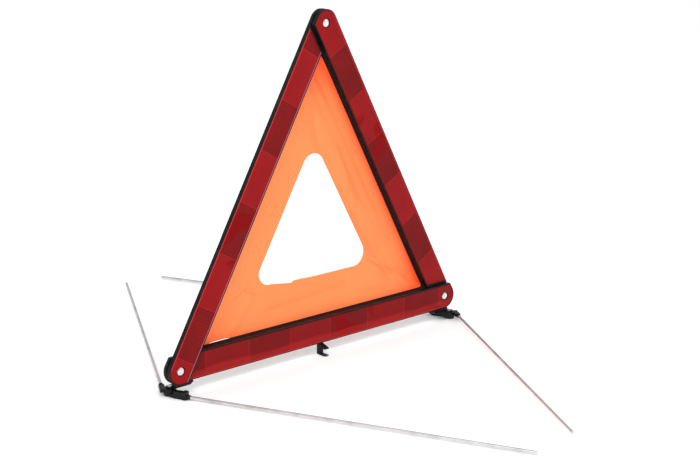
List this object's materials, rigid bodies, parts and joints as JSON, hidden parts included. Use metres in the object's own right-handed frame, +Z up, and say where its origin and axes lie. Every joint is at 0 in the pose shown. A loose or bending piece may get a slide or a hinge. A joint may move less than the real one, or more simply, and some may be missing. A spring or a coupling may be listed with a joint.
{
  "type": "folding warning triangle",
  "caption": "Folding roadside warning triangle: red reflector arms riveted at the corners, an orange fabric panel with an open middle, and low feet with swinging wire legs.",
  "frame": {"origin": "on the ground, under the middle of the bottom arm and midway between the two feet", "axes": "+X along the bottom arm to the right, +Y to the back so that the reflectors face -Y, +Z up"},
  "size_m": [0.448, 0.728, 0.4041],
  "materials": {
    "black_plastic": "fine grained, slightly worn sheen",
    "red_lens": "clear red over moulded prisms, in smooth and hatched blocks",
    "steel": "bright drawn wire and domed rivets",
    "orange_fabric": "fluorescent coated cloth, softly creased"
  },
  "bodies": {
    "base": {"bottom_arm_body": "black_plastic", "bottom_arm_lens": "red_lens", "bottom_arm_cover": "black_plastic", "left_corner_rivet": "steel", "left_corner_washer": "black_plastic", "right_corner_stud": "steel", "fabric_panel": "orange_fabric", "middle_leg_clip": "black_plastic", "left_foot_bracket": "black_plastic", "right_foot_bracket": "black_plastic", "left_foot_pin": "steel", "right_foot_pin": "steel"},
    "left_arm": {"left_arm_body": "black_plastic", "left_arm_lens": "red_lens", "left_arm_cover": "black_plastic", "apex_rivet": "steel", "apex_washer": "black_plastic"},
    "right_arm": {"right_arm_body": "black_plastic", "right_arm_lens": "red_lens", "right_arm_cover": "black_plastic"},
    "left_front_leg": {"left_front_leg_rod": "steel", "left_front_leg_holder": "black_plastic"},
    "left_rear_leg": {"left_rear_leg_rod": "steel", "left_rear_leg_holder": "black_plastic"},
    "right_front_leg": {"right_front_leg_rod": "steel", "right_front_leg_holder": "black_plastic"},
    "right_rear_leg": {"right_rear_leg_rod": "steel", "right_rear_leg_holder": "black_plastic"}
  },
  "joints": [
    {"name": "left_arm_fold", "type": "hinge", "parent": "base", "child": "left_arm", "pos_m": [-0.2075, -0.00295, 0.0295], "axis": [0.0178, 0.9994, -0.0309], "range_deg": [0, 60.03], "deforming": ["fabric_panel"]},
    {"name": "right_arm_fold", "type": "hinge", "parent": "left_arm", "child": "right_arm", "pos_m": [0, -0.00295, 0.3889], "axis": [0.0356, -0.9994, 0], "range_deg": [0, 300]},
    {"name": "left_front_leg_turn", "type": "hinge", "parent": "base", "child": "left_front_leg", "pos_m": [-0.213, 0.008, 0.0029], "axis": [0, 0, 1], "range_deg": [0, 62.18]},
    {"name": "left_rear_leg_turn", "type": "hinge", "parent": "base", "child": "left_rear_leg", "pos_m": [-0.213, 0.008, 0.00695], "axis": [0, 0, 1], "range_deg": [-61.68, 0]},
    {"name": "right_front_leg_turn", "type": "hinge", "parent": "base", "child": "right_front_leg", "pos_m": [0.213, -0.008, 0.00695], "axis": [0, 0, 1], "range_deg": [-61.68, 0]},
    {"name": "right_rear_leg_turn", "type": "hinge", "parent": "base", "child": "right_rear_leg", "pos_m": [0.213, -0.008, 0.0029], "axis": [0, 0, 1], "range_deg": [0, 62.18]}
  ],
  "couplings": [
    {"joint": "right_arm_fold", "follows": "left_arm_fold", "ratio": 4.9969}
  ]
}
